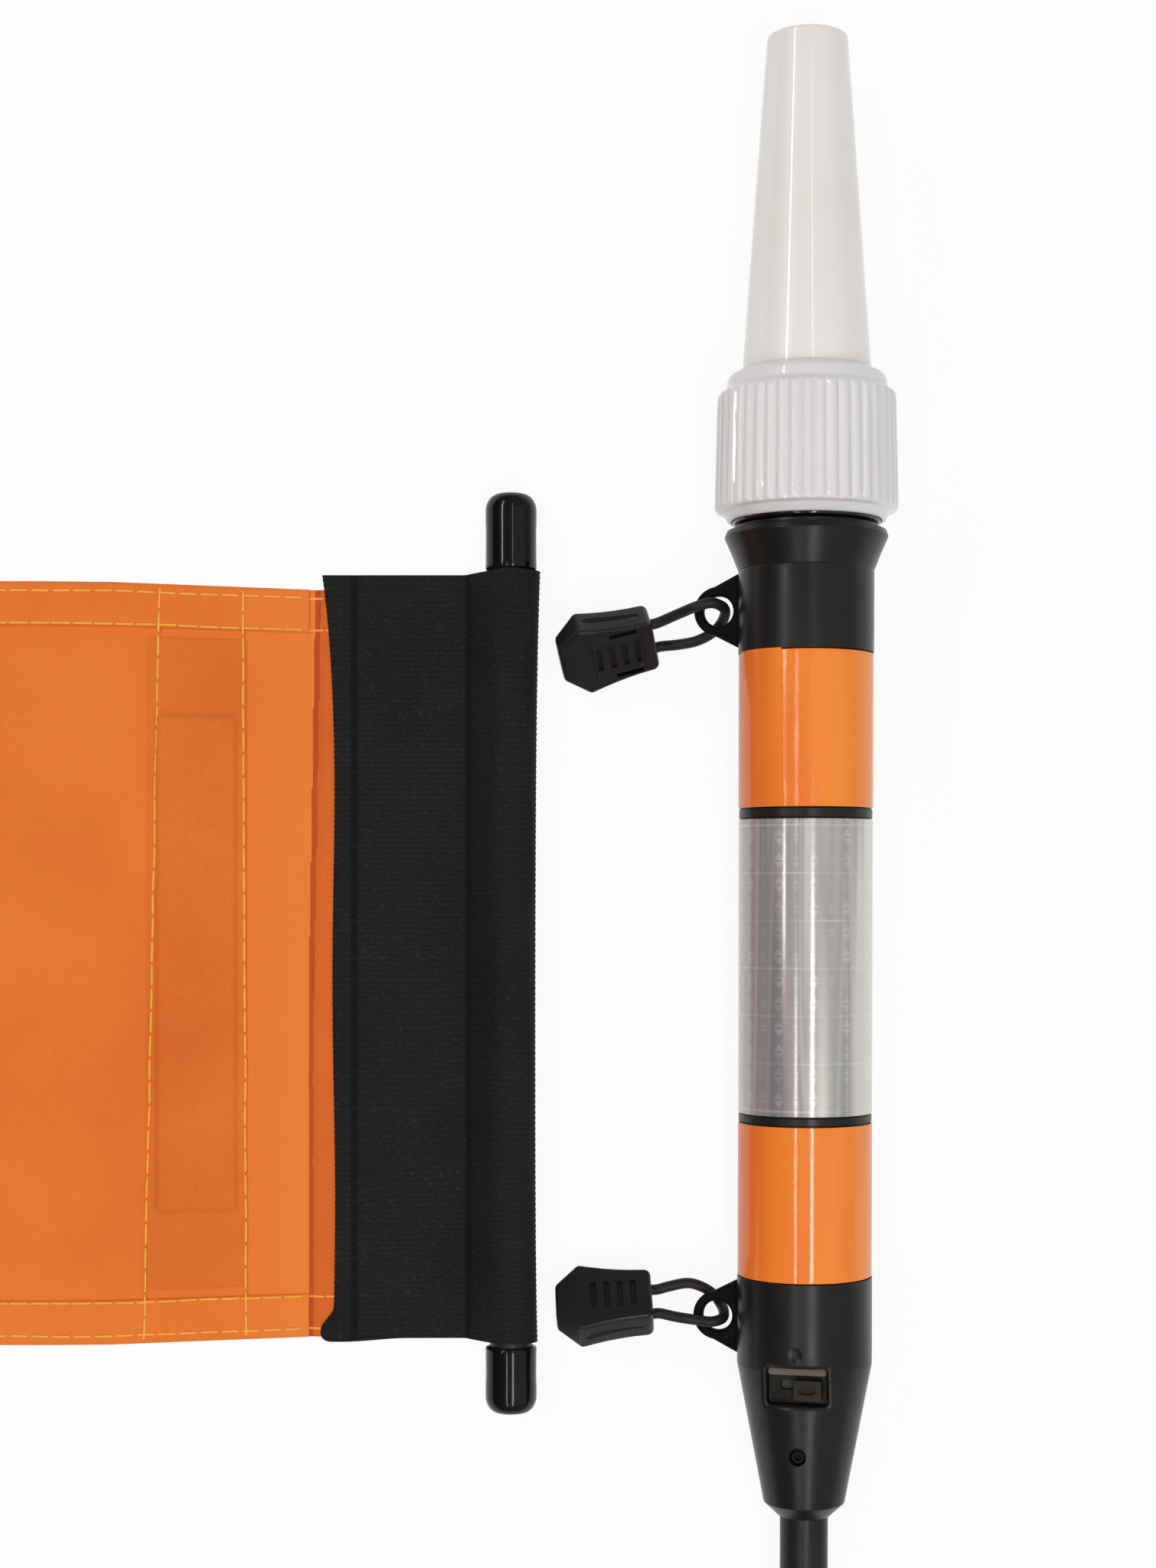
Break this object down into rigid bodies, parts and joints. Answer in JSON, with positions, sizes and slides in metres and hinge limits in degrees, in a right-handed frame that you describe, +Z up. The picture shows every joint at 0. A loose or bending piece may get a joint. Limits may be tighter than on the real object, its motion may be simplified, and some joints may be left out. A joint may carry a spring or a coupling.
{
  "type": "portable traffic barrier",
  "caption": "Portable traffic barrier laid flat: a lamp post with cone, screw ring, reflective bands and stake, corded pull grips, and a cloth banner on capped rods.",
  "frame": {"origin": "under the middle of the whole object, on the surface it lies on", "axes": "+Z up from the surface, +Y along the post towards the lamp, +X from the banner towards the post"},
  "size_m": [0.697, 0.6398, 0.0603],
  "materials": {
    "black_plastic": "fine satin moulding",
    "knob_plastic": "satin moulding",
    "grey_plastic": "satin moulding",
    "orange_tape": "retroreflective film",
    "silver_tape": "prismatic retroreflective film",
    "white_lens": "frosted translucent",
    "warm_lens": "frosted translucent",
    "black_rubber": "gloss",
    "black_cord": "satin",
    "black_steel": "black powder coat",
    "screw_steel": "plated",
    "contact_brass": "plated",
    "cell_jacket": "plain printed jacket",
    "circuit_board": "solder mask",
    "emitter": "clear dome over phosphor",
    "reflector": "bright vacuum coat",
    "orange_cloth": "plain woven",
    "black_weave": "ribbed webbing",
    "black_vinyl": "gloss dipped vinyl",
    "stiffener_sheet": "milky sheet"
  },
  "bodies": {
    "post": {"post_tube": "black_plastic", "tape_lower": "orange_tape", "tape_silver": "silver_tape", "tape_upper": "orange_tape", "lower_socket": "black_plastic", "upper_collar": "black_plastic", "stake_rod": "black_steel", "rod_screw": "screw_steel", "switch_plate": "grey_plastic", "switch_body": "black_plastic", "battery_sleeve": "grey_plastic", "battery_spring": "screw_steel", "battery_1": "cell_jacket", "battery_2": "cell_jacket", "contact_pin": "contact_brass", "lamp_head": "black_plastic", "head_oring": "black_rubber", "led_board": "circuit_board", "led_emitter": "emitter", "reflector": "reflector"},
    "cone": {"lamp_cone": "warm_lens"},
    "ring": {"lamp_ring": "white_lens"},
    "switch": {"switch_knob": "knob_plastic"},
    "upper_pull": {"upper_cord": "black_cord", "upper_grip": "black_plastic", "upper_grip_insert": "black_plastic"},
    "lower_pull": {"lower_cord": "black_cord", "lower_grip": "black_plastic", "lower_grip_insert": "black_plastic"},
    "banner": {"banner_panel": "orange_cloth", "near_pocket": "orange_cloth", "near_stiffener": "stiffener_sheet", "far_pocket": "orange_cloth", "far_stiffener": "stiffener_sheet"},
    "near_flap": {"near_sleeve": "black_weave", "near_tab": "orange_cloth"},
    "near_pole": {"near_rod": "black_steel", "near_cap_bottom": "black_vinyl", "near_cap_top": "black_vinyl"},
    "far_flap": {"far_sleeve": "black_weave", "far_tab": "orange_cloth"},
    "far_pole": {"far_rod": "black_steel", "far_cap_bottom": "black_vinyl", "far_cap_top": "black_vinyl"}
  },
  "joints": [
    {"name": "cone_lift", "type": "slide", "parent": "post", "child": "cone", "axis": [0, 0.9996, 0.0273], "range_m": [0, 0.009]},
    {"name": "ring_spin", "type": "hinge", "parent": "cone", "child": "ring", "pos_m": [0.3184, 0.16144, 0.03003], "axis": [0, 0.9996, 0.0273], "range_deg": [0, 1080]},
    {"name": "switch_slide", "type": "slide", "parent": "post", "child": "switch", "axis": [0.9744, -0.0061, 0.2249], "range_m": [-0.007, 0]},
    {"name": "upper_swing", "type": "hinge", "parent": "post", "child": "upper_pull", "pos_m": [0.28995, 0.13173, 0.02265], "axis": [0, 0, 1], "range_deg": [-30, 30]},
    {"name": "lower_swing", "type": "hinge", "parent": "post", "child": "lower_pull", "pos_m": [0.28995, -0.10368, 0.01622], "axis": [0, 0, 1], "range_deg": [-30, 30]},
    {"name": "banner_place", "type": "slide", "parent": "post", "child": "banner", "axis": [1, 0, 0], "range_m": [-0.15, 0]},
    {"name": "near_fold", "type": "hinge", "parent": "banner", "child": "near_flap", "pos_m": [0.1534, 0.01444, 0.0018], "axis": [0, -1, 0], "range_deg": [0, 150]},
    {"name": "far_fold", "type": "hinge", "parent": "banner", "child": "far_flap", "pos_m": [-0.273, 0.01444, 0.0018], "axis": [0, 1, 0], "range_deg": [0, 150]},
    {"name": "near_rod_spin", "type": "hinge", "parent": "near_flap", "child": "near_pole", "pos_m": [0.2202, 0.01444, 0.0087], "axis": [0, 1, 0], "continuous": true},
    {"name": "far_rod_spin", "type": "hinge", "parent": "far_flap", "child": "far_pole", "pos_m": [-0.3398, 0.01444, 0.0087], "axis": [0, 1, 0], "continuous": true}
  ],
  "couplings": [
    {"joint": "cone_lift", "follows": "ring_spin", "m_per_rad": 0.00047746}
  ]
}
